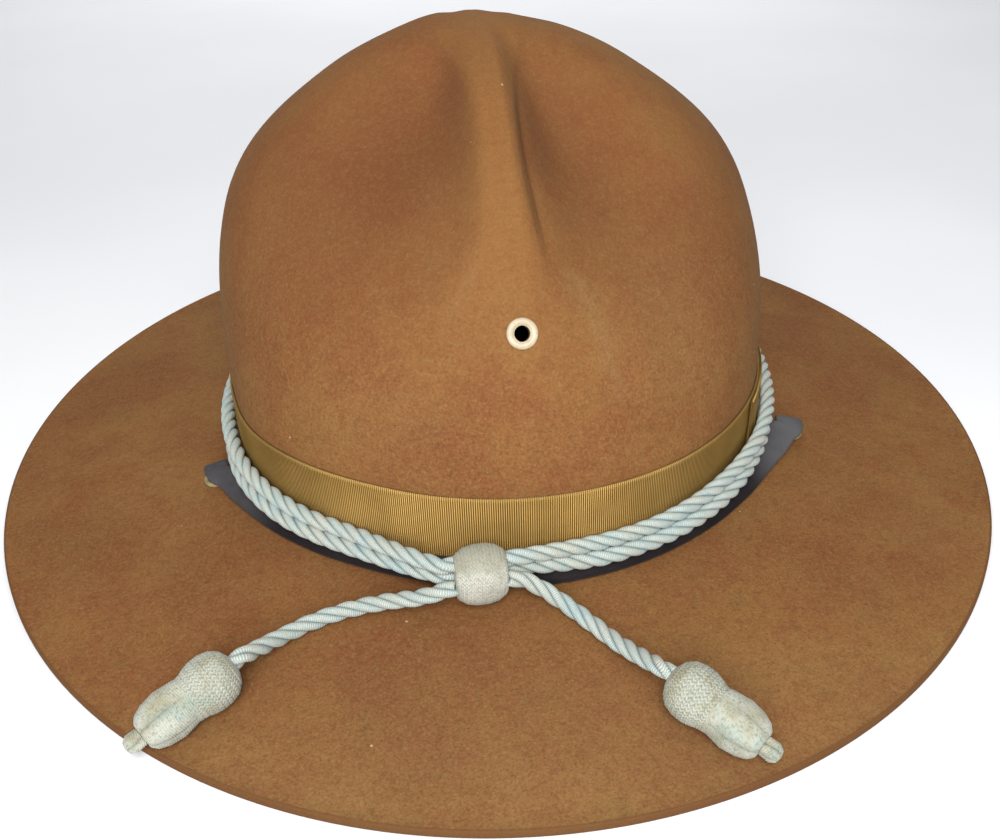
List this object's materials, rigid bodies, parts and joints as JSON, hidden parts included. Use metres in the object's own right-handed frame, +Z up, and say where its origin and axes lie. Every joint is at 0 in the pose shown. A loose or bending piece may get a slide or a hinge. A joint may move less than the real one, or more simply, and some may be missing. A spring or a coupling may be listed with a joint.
{
  "type": "campaign hat",
  "caption": "Felt campaign hat with a dented, peaked crown, a wide flat brim, a ribbon band and bow, a twisted hat cord with acorn ends and a leather chin strap.",
  "frame": {"origin": "on the floor under the middle of the brim's oval", "axes": "+Z up along the crown, -Y towards the hat's front, +X towards the wearer's left, where the bow is"},
  "size_m": [0.322, 0.35, 0.1412],
  "materials": {
    "felt": "napped felt",
    "grosgrain": "ribbed ribbon, slight sheen",
    "cord": "twisted cord",
    "weave": "woven over a core",
    "leather": "matte, worn",
    "enamel": "enamelled"
  },
  "bodies": {
    "root": {"felt_body": "felt", "hatband": "grosgrain", "hatband_bow": "grosgrain", "bow_wrap": "grosgrain", "front_eyelet": "enamel", "brim_eyelet_left": "enamel", "brim_eyelet_right": "enamel", "chin_strap": "leather", "hat_cord_upper": "cord", "hat_cord_lower": "cord", "cord_keeper": "weave", "cord_end_left": "cord", "acorn_cap_left": "weave", "acorn_body_left": "weave", "acorn_tip_left": "weave", "cord_end_right": "cord", "acorn_cap_right": "weave", "acorn_body_right": "weave", "acorn_tip_right": "weave"}
  },
  "joints": []
}
